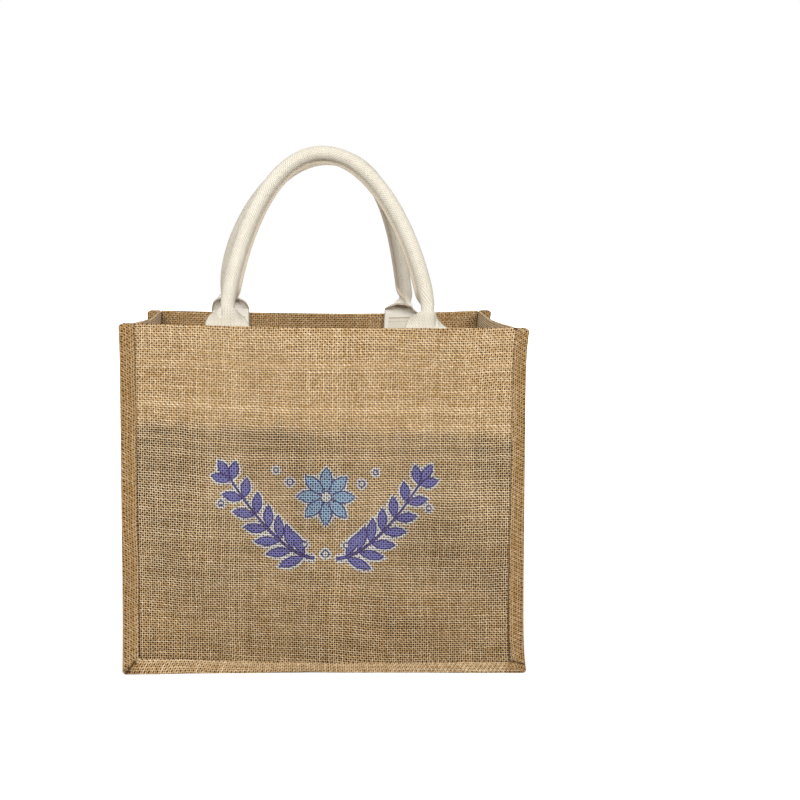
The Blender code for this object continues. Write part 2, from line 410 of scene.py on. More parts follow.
# shares of a yarn's width, and then of the pitch
YARN_UNEVEN = 0.36
SLUB_UNEVEN = 0.13
CRIMP_UNEVEN = 0.08
SWERVE = 0.07
LEAN = 0.075
# shares of a yarn's height, and then of its shade
CRIMP_HEIGHT = 0.35
ROUND_HEIGHT = 0.65
YARN_SHADE = 0.6
SLUB_SHADE = 0.3
PATCH_SHADE = 0.75
# fine fibres for each metre across a yarn and along it
FIBRES_ASIDE = 5200
FIBRES_AHEAD = 500


def wander(place, wide, deep, narrow, shallow):
    """How far the yarns lie aside of their even places, in yarns."""
    return mottle(place, wide, 1.0) * deep + mottle(place, narrow) * shallow


def yarn(index, across, along, crimp, lean, seed, cover, uneven, slack):
    """One of the two sets of yarns: how high it lies, its own shade, and how much of a yarn is there.
    A yarn is widest where it comes up, and it leans to one side and the other between its crossings,
    so every other hole is a large one."""
    number = {"W": index + seed}
    own = put(index.tree, "ShaderNodeTexWhiteNoise", number, output="Color", noise_dimensions="1D")
    thick, shade, _ = parts_of(own)
    lane = index * YARN_LANE + seed
    slub = mottle(point(lane, along * SLUBS), 1.0, 1.0)
    swerve = mottle(point(lane + 400, along * SWERVES), 1.0)
    patchy = mottle(point(lane + 800, along * PATCHES), 1.0, 2.0)
    uneven = uneven * ((thick - 0.5) * YARN_UNEVEN + slub * SLUB_UNEVEN)
    width = cover * (1 + uneven) * (1 + crimp * CRIMP_UNEVEN)
    sideways = (swerve * SWERVE - lean * LEAN) * slack
    offset = abs(across - 0.5 - sideways) / (width * 0.5)
    there = rise(1 - offset, 0.0, 0.15)
    bulge = reckon("SQRT", reckon("MAXIMUM", 1 - offset * offset, 0.0))
    height = (CRIMP_HEIGHT * crimp + ROUND_HEIGHT * bulge + 1.0) * there - 1.0
    shade = (shade - 0.5) * YARN_SHADE + slub * SLUB_SHADE + patchy * PATCH_SHADE
    return height, shade, there


def weave_group():
    """The weave, from a place on the flat cloth: how high it is, whether there is a hole, whether the
    warp is on top, and the yarn's shade and fibres."""
    sizes = ["Warp Pitch", "Weft Pitch", "Repeat", "Warp Cover", "Weft Cover"]
    sizes += ["Uneven", "Slack", "Seed"]
    tree, given, ready = new_group(
        "weave",
        [("Cloth", VECTOR)] + [(size, NUMBER) for size in sizes],
        [(result, NUMBER) for result in ("Height", "Hole", "Warp", "Shade", "Fibre")],
    )
    x, y, _ = parts_of(given["Cloth"])
    slack = given["Slack"]
    seed = given["Seed"]
    u = x / given["Warp Pitch"] + slack * wander(point(x + seed, y), *WARP_WANDER)
    v = y / given["Weft Pitch"] + slack * wander(point(x + 5.0, y + seed), *WEFT_WANDER)
    warp = reckon("FLOOR", u)
    weft = reckon("FLOOR", v)
    turn = 2 * math.pi / given["Repeat"]
    up_warp = reckon("COSINE", turn * (v + warp) - math.pi / 2)
    up_weft = -reckon("COSINE", turn * (u + weft) - math.pi / 2)
    lean_warp = reckon("COSINE", turn * (v + warp))
    lean_weft = reckon("COSINE", turn * (u + weft))
    rest = (given["Uneven"], slack)
    of_warp = (up_warp, lean_warp, seed + 11.0, given["Warp Cover"], *rest)
    of_weft = (up_weft, lean_weft, seed + 57.0, given["Weft Cover"], *rest)
    warp_height, warp_shade, on_warp = yarn(warp, u - warp, v, *of_warp)
    weft_height, weft_shade, on_weft = yarn(weft, v - weft, u, *of_weft)
    warp_on_top = rise(warp_height - weft_height, -0.02, 0.02)

    fibres_up = mottle(point(x * FIBRES_ASIDE, y * FIBRES_AHEAD), 1.0, 2.0)
    fibres_across = mottle(point(x * FIBRES_AHEAD, y * FIBRES_ASIDE), 1.0, 2.0)
    fibre = fibres_across + (fibres_up - fibres_across) * warp_on_top
    results = {
        "Height": reckon("MAXIMUM", warp_height, weft_height) + fibre * 0.05,
        "Hole": (1 - on_warp) * (1 - on_weft),
        "Warp": warp_on_top,
        "Shade": weft_shade + (warp_shade - weft_shade) * warp_on_top,
        "Fibre": fibre,
    }
    for name, result in results.items():
        plug(result, ready.inputs[name])
    return tree


WEAVE = weave_group()


def woven(cloth, **sizes):
    """The weave group in a material: its outputs by name."""
    node = cloth.tree.nodes.new("ShaderNodeGroup")
    node.node_tree = WEAVE
    plug(cloth, node.inputs["Cloth"])
    for name, value in sizes.items():
        plug(value, node.inputs[name.replace("_", " ").title()])
    return {socket.name: Reckoned(cloth.tree, socket) for socket in node.outputs}


JUTE_PALE = (0.98, 0.76, 0.490, 1)
JUTE_TAN = (0.50, 0.29, 0.103, 1)
JUTE_BROWN = (0.10, 0.046, 0.013, 1)
# painted shade: the uncut holes take the colour of the shaded bag or jute seen through them
BACKED_PAINTED_SHADE = (0.050, 0.024, 0.008, 1)
HOLE_PAINTED_SHADE = (0.010, 0.005, 0.0025, 1)
WARP_PITCH = 0.00193
WEFT_PITCH = 0.00202


def new_material(name, roughness, sheen, gloss):
    """A matt cloth: its material, its tree and its shader."""
    made = bpy.data.materials.new(name)
    made.use_nodes = True
    shader = made.node_tree.nodes["Principled BSDF"]
    shader.inputs["Roughness"].default_value = roughness
    shader.inputs["Specular IOR Level"].default_value = gloss
    shader.inputs["Sheen Weight"].default_value = sheen
    shader.inputs["Sheen Roughness"].default_value = 0.6
    return made, made.node_tree, shader


def bump(height, distance):
    """The normal of a surface that rises by the distance where the height is 1."""
    return put(height.tree, "ShaderNodeBump", {"Height": height, "Distance": distance})


THIN_PLACES = [
    # x, z, half width, half height, how thin
    (-0.0230, 0.2030, 0.034, 0.009, 0.06),
    (-0.1150, 0.1760, 0.014, 0.036, 0.06),
    (0.1130, 0.1170, 0.044, 0.022, 0.05),
    (0.0370, 0.0920, 0.016, 0.015, 0.05),
    (0.0900, 0.0330, 0.060, 0.016, 0.06),
]


def bell(*offsets):
    """1 where the offsets are 0, and falling away evenly from there."""
    return reckon("EXPONENT", -sum(offset * offset for offset in offsets))


def panel_thinness(x, y, z):
    """Where the yarns of the panels are thinner than elsewhere."""
    return sum(
        amount * bell((x - at_x) / half_width, (z - at_z) / half_height)
        for at_x, at_z, half_width, half_height, amount in THIN_PLACES
    )


# share of the pitch that the yarns cover where the cloth is backed, and how much less it is over the
# open bag: everywhere, higher up, and in loose places
JUTE_WARP_COVER = 0.610
JUTE_WEFT_COVER = 0.630
OPEN_COVER = 0.190
OPEN_COVER_HIGH = 0.015
OPEN_COVER_LOOSE = 0.085
# from and to which height over the hem's inner edge the hem comes to show
HEM_SHOWN = (-0.009, 0.007)
# painted shade: from and to which height on a yarn its colour goes from brown in shade to fully lit,
# and how much darker it is drawn where the warp lies on top
YARN_LIT = (-0.34, 0.92)
WARP_SHADED = 0.10
MEAN_TONE = 0.45


def jute(name, hem_line, seed, thinness, backed_too=None, dull_and_painted_light=None, folds=None, printed=None):
    """The jute of one sheet. hem_line gives the height of the hem's inner edge at x = 0 and its slope
    across the bag: above it the holes are painted in the shade of another layer of jute, and below it
    in the dark of the shaded bag.
    thinness gives where its yarns are thinner, backed_too where else another layer lies behind it, the
    next argument where it is browner, and on the gusset its painted shade and light, folds where it
    lies in the shade of a fold, and printed its ink."""
    made, tree, shader = new_material(name, 0.95, 0.04, 0.10)
    cloth = put(tree, "ShaderNodeUVMap", uv_map="cloth")
    x, y, z = parts_of(put(tree, "ShaderNodeTexCoord", output="Object"))
    loose = mottle(point(x + seed, z), 16.0, 2.0)
    edge = z - (x * hem_line[1] + hem_line[0]) + mottle(point(x * 3 + seed, z), 30.0) * 0.003
    backed = rise(edge, *HEM_SHOWN)
    if backed_too:
        backed = reckon("MAXIMUM", backed, backed_too(x, y, z))
    bare = 1 - backed
    open_cover = OPEN_COVER_LOOSE * loose + OPEN_COVER + OPEN_COVER_HIGH * rise(z, 0.10, 0.20)
    thin = open_cover * bare + thinness(x, y, z)
    yarns = woven(
        cloth,
        warp_pitch=WARP_PITCH,
        weft_pitch=WEFT_PITCH,
        repeat=2.0,
        warp_cover=JUTE_WARP_COVER - thin,
        weft_cover=JUTE_WEFT_COVER - thin,
        uneven=1.0,
        slack=1.0,
        seed=float(seed),
    )
    # painted shade: yarns are drawn darker down their flanks and where the warp lies on top
    lit = rise(yarns["Height"], *YARN_LIT) * (1 - yarns["Warp"] * WARP_SHADED)
    # painted shade: below the hem the bare cloth is drawn darker towards the foot
    low = 1 - rise(z, 0.02, 0.17)
    tone = MEAN_TONE + yarns["Shade"] * 0.45 + yarns["Fibre"] * 0.08 + loose * 0.04
    tone = tone + (0.10 - low * 0.14) * bare
    # painted shade and light: on the gusset this darkens the sides and lightens the inner faces; the
    # back panel is browner towards the mouth
    if dull_and_painted_light:
        duller_and_painted_light = dull_and_painted_light(x, y, z)
        lit = lit * (1 - duller_and_painted_light * 0.8)
        tone = tone - duller_and_painted_light * 0.8
    straw = mixed(rise(tone, 0.0, 1.0), JUTE_TAN, JUTE_PALE)
    colour = mixed(lit, JUTE_BROWN, straw)
    if printed:
        ink, inked = printed(cloth)
        inked = inked * rise(yarns["Height"] + yarns["Fibre"] * 0.1, -0.35, 0.35)
        # the ink takes the same painted shade as the yarns
        colour = mixed(inked, colour, mixed(lit * 0.7 + 0.3, JUTE_BROWN, ink))
    # painted shade: the holes show the dark inside of the bag, or a shaded layer of jute behind
    colour = mixed(yarns["Hole"], colour, mixed(backed, HOLE_PAINTED_SHADE, BACKED_PAINTED_SHADE))
    # painted shade: folds, and on the panels the line beside the binding's edge, are drawn dark
    if folds:
        colour = mixed(folds(x, y, z), colour, BACKED_PAINTED_SHADE)
    plug(colour, shader.inputs["Base Color"])
    plug(bump(yarns["Height"], 0.00045), shader.inputs["Normal"])
    return made


def back_dullness(x, y, z):
    """The back panel is slightly browner towards the mouth."""
    return rise(z, 0.20, 0.28) * 0.14


# The front is screen-printed: a blue blossom between two leafy periwinkle sprigs with white berries,
# lined in indigo and edged in white. The ink lies on the yarns and leaves the holes open.
PRINT_MIDDLE = (0.0, 0.1440)
STEM_LENGTH = (0.010, 0.084)
STEM_RISE = (-0.040, 0.030)
STEM_BEND = 1.7
STEM_WIDTH = 0.0012
LEAF_COUNT = 7
LEAF_HALF_LENGTH = (0.0125, 0.0085)
LEAF_HALF_WIDTH = 0.0043
LEAF_LEAN = 0.75
PETALS = 8
PETAL_HALF_LENGTH = 0.0110
PETAL_HALF_WIDTH = 0.0056
PETAL_OUT = 0.0145
BLOSSOM_UP = 0.014
BERRIES = [
    # out from the middle, up from the middle, radius
    (0.0, 0.014, 0.0052),
    (0.031, 0.026, 0.0030),
    (0.043, 0.036, 0.0024),
    (0.018, -0.028, 0.0028),
    (0.0, -0.036, 0.0034),
    (0.090, 0.005, 0.0026),
]
PRINT_EDGE = 0.0022
PRINT_LINE = 0.0008
PRINT_RAGGED = 0.00025
INK_WHITE = (0.84, 0.83, 0.80, 1)
INK_INDIGO = (0.060, 0.052, 0.230, 1)
INK_PERIWINKLE = (0.205, 0.215, 0.560, 1)
INK_BLUE = (0.360, 0.560, 0.780, 1)


def leaf_group():
    """A pointed leaf on the flat cloth: how far inside its outline a point lies."""
    sizes = [(size, NUMBER) for size in ("Out", "Up", "Cosine", "Sine", "Half Length", "Half Width")]
    tree, given, ready = new_group("leaf", [("Place", VECTOR)] + sizes, [("Inside", NUMBER)])
    out, up, _ = parts_of(given["Place"])
    out = out - given["Out"]
    up = up - given["Up"]
    along = out * given["Cosine"] + up * given["Sine"]
    aside = abs(up * given["Cosine"] - out * given["Sine"])
    along = along / given["Half Length"]
    plug(given["Half Width"] * (1 - along * along) - aside, ready.inputs["Inside"])
    return tree


LEAF = leaf_group()


def leaf(place, out, up, angle, half_length, half_width):
    """The leaf group in a material: how far inside one leaf a place lies."""
    node = place.tree.nodes.new("ShaderNodeGroup")
    node.node_tree = LEAF
    plug(place, node.inputs["Place"])
    sizes = (out, up, math.cos(angle), math.sin(angle), half_length, half_width)
    for socket, size in zip(list(node.inputs)[1:], sizes):
        plug(size, socket)
    return Reckoned(place.tree, node.outputs["Inside"])


def stem_up(share):
    """How far above the print's middle the stem is, at a share of its length."""
    return blend(*STEM_RISE, share**STEM_BEND)


def together(shapes):
    """The greatest of several values at each place."""
    joined = shapes[0]
    for shape in shapes[1:]:
        joined = reckon("MAXIMUM", joined, shape)
    return joined


def sprig_print(cloth):
    """The colour of the ink, and where there is ink. Both halves of the print mirror each other."""
    x, up, _ = parts_of(cloth)
    out = abs(x - PRINT_MIDDLE[0])
    up = up - PRINT_MIDDLE[1]
    place = point(out, up)
    shapes = []
    for i in range(LEAF_COUNT):
        share = (i + 0.7) / LEAF_COUNT
        root = Vector((blend(*STEM_LENGTH, share), stem_up(share)))
        ahead = Vector((blend(*STEM_LENGTH, share + 0.02), stem_up(share + 0.02)))
        way = math.atan2(ahead.y - root.y, ahead.x - root.x)
        half_length = blend(*LEAF_HALF_LENGTH, share)
        for lean in (LEAF_LEAN, -LEAF_LEAN):
            middle = root + Vector((math.cos(way + lean), math.sin(way + lean))) * (half_length + 0.001)
            shapes.append(leaf(place, *middle, way + lean, half_length, LEAF_HALF_WIDTH))
    tip = Vector((STEM_LENGTH[1] + 0.004, stem_up(1.0) + 0.006))
    shapes.append(leaf(place, *tip, 1.0, LEAF_HALF_LENGTH[1], LEAF_HALF_WIDTH))
    share = (out - STEM_LENGTH[0]) / (STEM_LENGTH[1] - STEM_LENGTH[0])
    inside = reckon("MINIMUM", reckon("MAXIMUM", share, 0.0), 1.0)
    curve = reckon("POWER", inside, STEM_BEND) * (STEM_RISE[1] - STEM_RISE[0]) + STEM_RISE[0]
    past = abs(share - inside) * (STEM_LENGTH[1] - STEM_LENGTH[0])
    shapes.append(STEM_WIDTH - abs(up - curve) * 0.75 - past)
    leaves = together(shapes)

    petals = []
    for i in range(PETALS // 2 + 1):
        angle = math.pi / 2 - i * 2 * math.pi / PETALS
        middle = (PETAL_OUT * math.cos(angle), BLOSSOM_UP + PETAL_OUT * math.sin(angle))
        petals.append(leaf(place, *middle, angle, PETAL_HALF_LENGTH, PETAL_HALF_WIDTH))
    petals = together(petals)
    berries = []
    for berry_out, berry_up, radius in BERRIES:
        ends = {0: place, 1: (berry_out, berry_up, 0)}
        off = put(cloth.tree, "ShaderNodeVectorMath", ends, output="Value", operation="DISTANCE")
        berries.append(radius - off)
    berries = together(berries)

    ragged = mottle(cloth, 900.0, 1.0) * PRINT_RAGGED
    every = together([leaves, petals, berries]) + ragged
    ink = mixed(rise(every, -0.0003, 0.0001), INK_WHITE, INK_INDIGO)
    for shape, colour in ((leaves, INK_PERIWINKLE), (petals, INK_BLUE), (berries, INK_WHITE)):
        ink = mixed(rise(shape + ragged, PRINT_LINE, PRINT_LINE + 0.0004), ink, colour)
    facing = put(cloth.tree, "ShaderNodeNewGeometry", output="True Normal")
    outside = 1 - rise(parts_of(facing)[1], -0.6, -0.4)
    worn = rise(mottle(cloth, 400.0, 2.0), -1.6, -0.8) * 0.25 + 0.7
    return ink, rise(every, -PRINT_EDGE - 0.0002, -PRINT_EDGE + 0.0002) * outside * worn


BINDING_EDGES = [
    # x on the flat cloth at the foot and at the mouth, how dark the painted shadow beside it is
    (-0.1606, -0.1616, 0.55),
    (0.1614, 0.1632, 0.85),
]
EDGE_SHADE = 0.0008


def panel_shade(x, y, z):
    """The painted shadow beside the binding's inner edge, deepest low down."""
    across, _, _ = parts_of(put(z.tree, "ShaderNodeUVMap", uv_map="cloth"))
    depth = 1 - rise(z, 0.06, 0.20) * 0.6
    return sum(
        depth * darkness * bell((across - foot - z * ((mouth - foot) / HEIGHT)) / EDGE_SHADE)
        for foot, mouth, darkness in BINDING_EDGES
    )


def dress(piece, finish):
    """Gives a piece its one material."""
    piece.data.materials.clear()
    piece.data.materials.append(finish)


HEM_LINES = {
    name: (WALL_TOP - (left + right) / 2, (left - right) / WIDTH)
    for name, (left, right) in PANEL_HEMS.items()
}
for seed, (name, panel) in enumerate(panels.items()):
    own = {"dull_and_painted_light": back_dullness} if name == "back_panel" else {"printed": sprig_print}
    dress(panel, jute("jute_" + name, HEM_LINES[name], seed, panel_thinness, folds=panel_shade, **own))
    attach(panel, "root")
    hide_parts(name)


# The gusset is one long strip of jute: left side, bottom and right side in one. Its long edges turn
# outwards behind the panels and wrap round their raw edges as the binding, which is sewn through.
# Its two short ends are hemmed at the mouth.
TURN = 0.0010
BEND = 0.0012
GUSSET_HEM = 0.070
GUSSET_HEM_INSET = 0.0065
INNER_FLANGE_Y = BINDING_Y - 2 * LAYER
WALL_REACH = DEPTH / 2 - GUSSET_HEM_INSET
TURN_STEPS = 4
CORNER_STEPS = 6
BINDING_WIDTHS = [
    # share of the way along the seam from the left mouth to the right mouth, width
    (0.00, 0.0128),
    (0.25, 0.0138),
    (0.50, 0.0092),
    (0.74, 0.0098),
    (0.77, 0.0130),
    (1.00, 0.0112),
]
BINDING_FOLDS = [
    # where the binding is folded over itself at the bag's lower corners: ends as (x, z), which side of
    # it is shaded, and how darkly
    ((-0.1627, 0.0135), (-0.1722, 0.0008), 1, 0.95),
    ((0.1575, 0.0128), (0.1768, 0.0078), 1, 0.90),
]
FOLD_SHADE = 0.0010
FOLD_LIFT = 0.0007
FOLD_ASIDE = 0.024
FOLD_UP = 0.030
FOLD_EDGE = 0.002
FOLD_WIDTH = 0.012
TOP_RISE = HEIGHT - WALL_TOP
TOP_ROUND = 0.0042
TOP_DROP = 0.0030
# from which share of the height the binding rises to the mouth's edge, and over which share
TOP_START = 0.93
TOP_RUN = 0.07
CORNER_DARK = 0.0028
FLANGE_SLANT = 0.5
FLANGE_SLANT_FROM = 0.15
FLANGE_STEP = 0.002
# painted shade at the bag's sides, and painted light on the gusset's inner faces
SIDE_PAINTED_SHADE = 0.26
INNER_PAINTED_LIGHT = 0.22


def binding_width(share):
    """How wide the binding is at a share of the way along the seam."""
    for (start, first), (end, second) in zip(BINDING_WIDTHS, BINDING_WIDTHS[1:]):
        if share <= end:
            return blend(first, second, smooth((share - start) / (end - start)))
    return BINDING_WIDTHS[-1][1]


def off_fold(x, z, start, end):
    """How far a place lies to the right of a fold, and how far past its ends."""
    run = Vector(end) - Vector(start)
    way = run.normalized()
    ahead = x * way.x + z * way.y - Vector(start).dot(way)
    aside = z * way.x - x * way.y - (start[1] * way.x - start[0] * way.y)
    return aside, ahead, run.length


def lifted(x, z):
    """How far the binding's upper layer stands off at the folds."""
    lift = 0.0
    for start, end, shaded, _ in BINDING_FOLDS:
        aside, _, _ = off_fold(x, z, start, end)
        if abs(x - start[0]) < FOLD_ASIDE and z < FOLD_UP:
            over = smooth(0.5 - aside * shaded / FOLD_EDGE)
            lift += FOLD_LIFT * over * smooth(1.5 - abs(aside) / FOLD_WIDTH)
    return lift


def binding_top_rise(out, from_foot):
    """At the mouth the binding is level with the folded panel, and its outer corner is rounded."""
    corner = min(max((out - OUTER) / TOP_ROUND + 1, 0.0), 1.0)
    drop = TOP_DROP * (1 - math.sqrt(1 - corner * corner))
    return smooth((from_foot - TOP_START) / TOP_RUN) * (TOP_RISE - drop)


def quarter_turn(radius):
    """Even steps of a quarter turn: how much is left of its first way, and is gone of its second."""
    turns = [math.pi / 2 * i / TURN_STEPS for i in range(TURN_STEPS + 1)]
    return [(radius * (1 - math.sin(turn)), radius * (1 - math.cos(turn))) for turn in turns]


def gusset_profile():
    """Across the strip, front to back: (kind, distance out from the wall, depth, place on the cloth).
    On the binding, the distance out is a share of its width."""
    front = [("binding", share, -BINDING_Y) for share in (0.0, 0.2, 0.4, 0.6, 0.8)]
    front += [("flange", OUTER - left, -BINDING_Y + gone) for left, gone in quarter_turn(TURN)]
    front += [("flange", OUTER - gone, -INNER_FLANGE_Y - left) for left, gone in quarter_turn(TURN)]
    front += [("flange", out, -INNER_FLANGE_Y) for out in steps(OUTER - 0.003, BEND, FLANGE_STEP)]
    front += [("flange", left, -INNER_FLANGE_Y + gone) for left, gone in quarter_turn(BEND)[1:]]
    wall = [("wall", 0.0, depth) for depth in steps(-WALL_REACH, WALL_REACH, CLOTH_STEP)]
    profile = front + wall + [(kind, out, -depth) for kind, out, depth in reversed(front)]
    columns = []
    across = 0.0
    before = None
    for kind, out, depth in profile:
        at = Vector((out * (FLANGE - TURN) if kind == "binding" else out, depth))
        across += (at - before).length if before else 0.0
        before = at
        columns.append((kind, out, depth, across))
    return columns


def gusset_rows():
    """Along the strip, mouth to mouth: (stretch, position on it)."""
    hem = hem_rows(GUSSET_HEM, CLOTH_STEP)
    side = steps(0.0, 1.0, CLOTH_STEP / HEIGHT)
    rows = [("left hem", row) for row in reversed(hem)]
    rows += [("left", share) for share in reversed(side)]
    rows += [("left corner", i / CORNER_STEPS) for i in range(1, CORNER_STEPS)]
    rows += [("bottom", share) for share in steps(0.0, 1.0, CLOTH_STEP / WIDTH)]
    rows += [("right corner", 1 - i / CORNER_STEPS) for i in range(1, CORNER_STEPS)]
    rows += [("right", share) for share in side]
    return rows + [("right hem", row) for row in hem]


def seam_share(stretch, position):
    """How far along the seam a row lies, from 0 at the left mouth to 1 at the right mouth."""
    if stretch == "bottom":
        return blend(0.25, 0.75, position)
    from_foot = position if stretch in ("left", "right") else 1.0 if "hem" in stretch else 0.0
    return blend(0.25, 0.0, from_foot) if "left" in stretch else blend(0.75, 1.0, from_foot)


def seam_point(stretch, position, out):
    """A point of the U that the gusset follows, out metres outside the wall, as (x, z), and how far
    along the strip it lies from the middle of the bottom."""
    half = WALL_OUT + out
    floor = FLANGE - out
    side = -1 if "left" in stretch else 1
    straight = WALL_OUT - CORNER_RADIUS
    foot = straight + CORNER_RADIUS * math.pi / 2
    if "hem" in stretch:
        inward, height, cloth = hem_place(*position)
        return side * (half - inward), height, side * (foot + cloth)
    if stretch in ("left", "right"):
        z = blend(floor + CORNER_RADIUS, WALL_TOP, position)
        return side * half, z, side * (foot + z)
    if stretch == "bottom":
        x = blend(-half + CORNER_RADIUS, half - CORNER_RADIUS, position)
        return x, floor, x
    turn = math.pi / 2 * position
    x = side * (half - CORNER_RADIUS * (1 - math.cos(turn)))
    return x, floor + CORNER_RADIUS * (1 - math.sin(turn)), side * (straight + CORNER_RADIUS * turn)


def gusset_place(column, row):
    """Where a column and a row of the strip cross, on the bag and on the flat cloth."""
    kind, out, depth, across = column
    if kind == "binding":
        start = FLANGE - binding_width(seam_share(*row))
        out = blend(start, OUTER - TURN, out)
    x, z, along = seam_point(*row, out)
    if kind == "wall" and row[0] == "bottom":
        half_way = math.sin(math.pi * row[1])
        z -= BOTTOM_SAG * math.cos(math.pi / 2 * depth / WALL_REACH) ** 2 * half_way**0.5
    if kind != "wall" and row[0] in ("left", "right"):
        z += binding_top_rise(out, row[1])
    if kind != "wall":
        # Past the wall the crosswise yarns run aslant.
        slanted = FLANGE_SLANT * (abs(across - GUSSET_MIDDLE) - WALL_REACH)
        along += math.copysign(slanted, along) * smooth(abs(along) / FLANGE_SLANT_FROM)
    if kind == "binding":
        depth += math.copysign(lifted(x, z) if depth < 0 else 0.0, depth)
    return settle(x, depth, z), (across, along)


def on_binding(x, y, z):
    """Where the gusset's cloth lies on a panel's front."""
    return rise(abs(y), BINDING_Y - 0.003, BINDING_Y - 0.002)


def binding_thinness(x, y, z):
    """The binding's yarns are pulled close together."""
    return on_binding(x, y, z) * -0.03


def side_shade_and_inner_light(x, y, z):
    """The binding at the bag's sides is drawn darker and browner as painted shade; the inner faces are
    drawn paler as painted light.
    """
    shaded_side = rise(abs(x), WALL_OUT - 0.006, WALL_OUT) * SIDE_PAINTED_SHADE
    facing = put(x.tree, "ShaderNodeNewGeometry", output="True Normal")
    inside = 1 - rise(parts_of(facing)[0] * x, -0.10, -0.06)
    return shaded_side * (1 - inside) - inside * INNER_PAINTED_LIGHT


def binding_folds(x, y, z):
    """The shade along the folds at the front of the bag's lower corners, and in the corners inside."""
    lines = []
    for start, end, shaded, darkness in BINDING_FOLDS:
        aside, ahead, length = off_fold(x, z, start, end)
        line = darkness * bell((aside * shaded - FOLD_SHADE * 0.5) / FOLD_SHADE)
        line = line * rise(ahead, -0.001, 0.001) * (1 - rise(ahead, length - 0.001, length + 0.001))
        lines.append(line)
    shade = together(lines) * (1 - rise(y, -0.05, -0.04))
    inside = 1 - rise(abs(x), WALL_OUT - 0.004, WALL_OUT + 0.004)
    past = (abs(y) - WALL_REACH) / CORNER_DARK
    corner = rise(past, -2.0, 0.0) * (1 - rise(past, 1.0, 1.5)) * inside
    return reckon("MAXIMUM", shade, corner * 0.9)


GUSSET_PROFILE = gusset_profile()
GUSSET_MIDDLE = GUSSET_PROFILE[-1][3] / 2
gusset = sew(
    "gusset_cloth",
    GUSSET_PROFILE,
    gusset_rows(),
    gusset_place,
    JUTE,
    keep=lambda column, row: "hem" not in row[0] or column[0] == "wall",
)
gusset_hem_line = (WALL_TOP - GUSSET_HEM, 0.0)
looks = (binding_thinness, on_binding, side_shade_and_inner_light, binding_folds)
dress(gusset, jute("jute_gusset", gusset_hem_line, 5, *looks))
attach(gusset, "root")
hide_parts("gusset")
2 * GUSSET_MIDDLE
4 * (GUSSET_MIDDLE * (WALL_OUT + HEIGHT) + WALL_REACH * GUSSET_HEM)


# Each handle is cream cotton webbing folded round a rope, its two long edges sewn together as a narrow
# flange on the handle's inner side. Towards its ends the rope stops, the flange turns to the inside of
# the bag and opens, and the webbing lies flat inside the hem.
WEBBING_WIDTH = 0.037
WEBBING = 0.0018
WEBBING_DRAWN = 0.0015
ROPE_RADIUS = 0.0065
THREAD_RADIUS = 0.00030
SEAM_WIDTH = 0.0042
SEAM_START = 0.003
TAB_LENGTH = 0.038
NECK_HEIGHT = 0.020
ROPE_END = 0.034
HANDLE_LEAN = 0.060
TAB_Y = PANEL_Y - LAYER - JUTE / 2 - GAP - WEBBING / 2
HANDLES = [
    # name, front or back, top's place across, its rise over the mouth, height where the flange has
    # turned to the inner side, neck's size
    ("handle_front", -1, -0.0040, 0.1515, 0.036, 0.92),
    ("handle_back", 1, 0.0020, 0.1550, 0.030, 1.0),
]
LEGS = {
    # handle: for each leg the tab's place across, how far the neck lies outwards from it, and how far
    # the leg's curve is drawn inward and upward at the neck and outward at the top
    "handle_front": [(-0.0847, 0.0000, 0.0050, 0.044, 0.051), (0.0852, 0.0010, 0.0050, 0.043, 0.052)],
    "handle_back": [(-0.0917, 0.0030, -0.0060, 0.048, 0.056), (0.0822, 0.0030, 0.0095, 0.050, 0.062)],
}
SHOULDERS = {
    # leg: for the bag's left and right side, where the webbing is closed round the rope, the drop over
    # which it opens and how full the shoulder is
    ("handle_front", -1): {-1: (0.0140, 0.0155, 2.1), 1: (0.0142, 0.0150, 1.4)},
    ("handle_front", 1): {-1: (0.0130, 0.0150, 1.8), 1: (0.0140, 0.0150, 1.2)},
    ("handle_back", -1): {-1: (0.0180, 0.0140, 2.0), 1: (0.0175, 0.0150, 1.5)},
    ("handle_back", 1): {-1: (0.0120, 0.0088, 1.2), 1: (0.0120, 0.0100, 1.08)},
}
CREASES = {
    # leg: across the webbing, lowest, highest, depth
    ("handle_front", -1): [(-0.0046, 0.0060, 0.0140, 0.0024), (0.0060, 0.0010, 0.0100, 0.0006)],
    ("handle_front", 1): [(0.0078, -0.0010, 0.0125, 0.0022), (-0.0080, 0.0015, 0.0090, 0.0006)],
    ("handle_back", -1): [(0.0060, 0.0030, 0.0100, 0.0007)],
    ("handle_back", 1): [(0.0045, 0.0010, 0.0080, 0.0004)],
}
CREASE_WIDTH = 0.0011
WEBBING_STEP = 0.0020
ARC_STEPS = 16
LIP_STEPS = 5
CURVE_STEPS = 75


def leg_stations(top, top_rise, tab, neck_out, draw, leg_pull, top_pull):
    """Along one leg, from the tab's end to the top: (x, rise above the mouth)."""
    side = math.copysign(1, tab)
    stations = [(tab, height) for height in steps(-TAB_LENGTH, -0.001, WEBBING_STEP)]
    for height in steps(-0.001, NECK_HEIGHT, WEBBING_STEP / 2.5)[1:]:
        stations.append((tab + side * neck_out * smooth(height / NECK_HEIGHT), height))
    start = Vector((tab + side * neck_out, NECK_HEIGHT))
    end = Vector((top, top_rise))
    leg_knot = start + Vector((-side * draw, leg_pull))
    top_knot = end + Vector((side * top_pull, 0))
    curve = interpolate_bezier(start, leg_knot, top_knot, end, CURVE_STEPS)
    return stations + [(at.x, at.y) for at in curve[1:]]


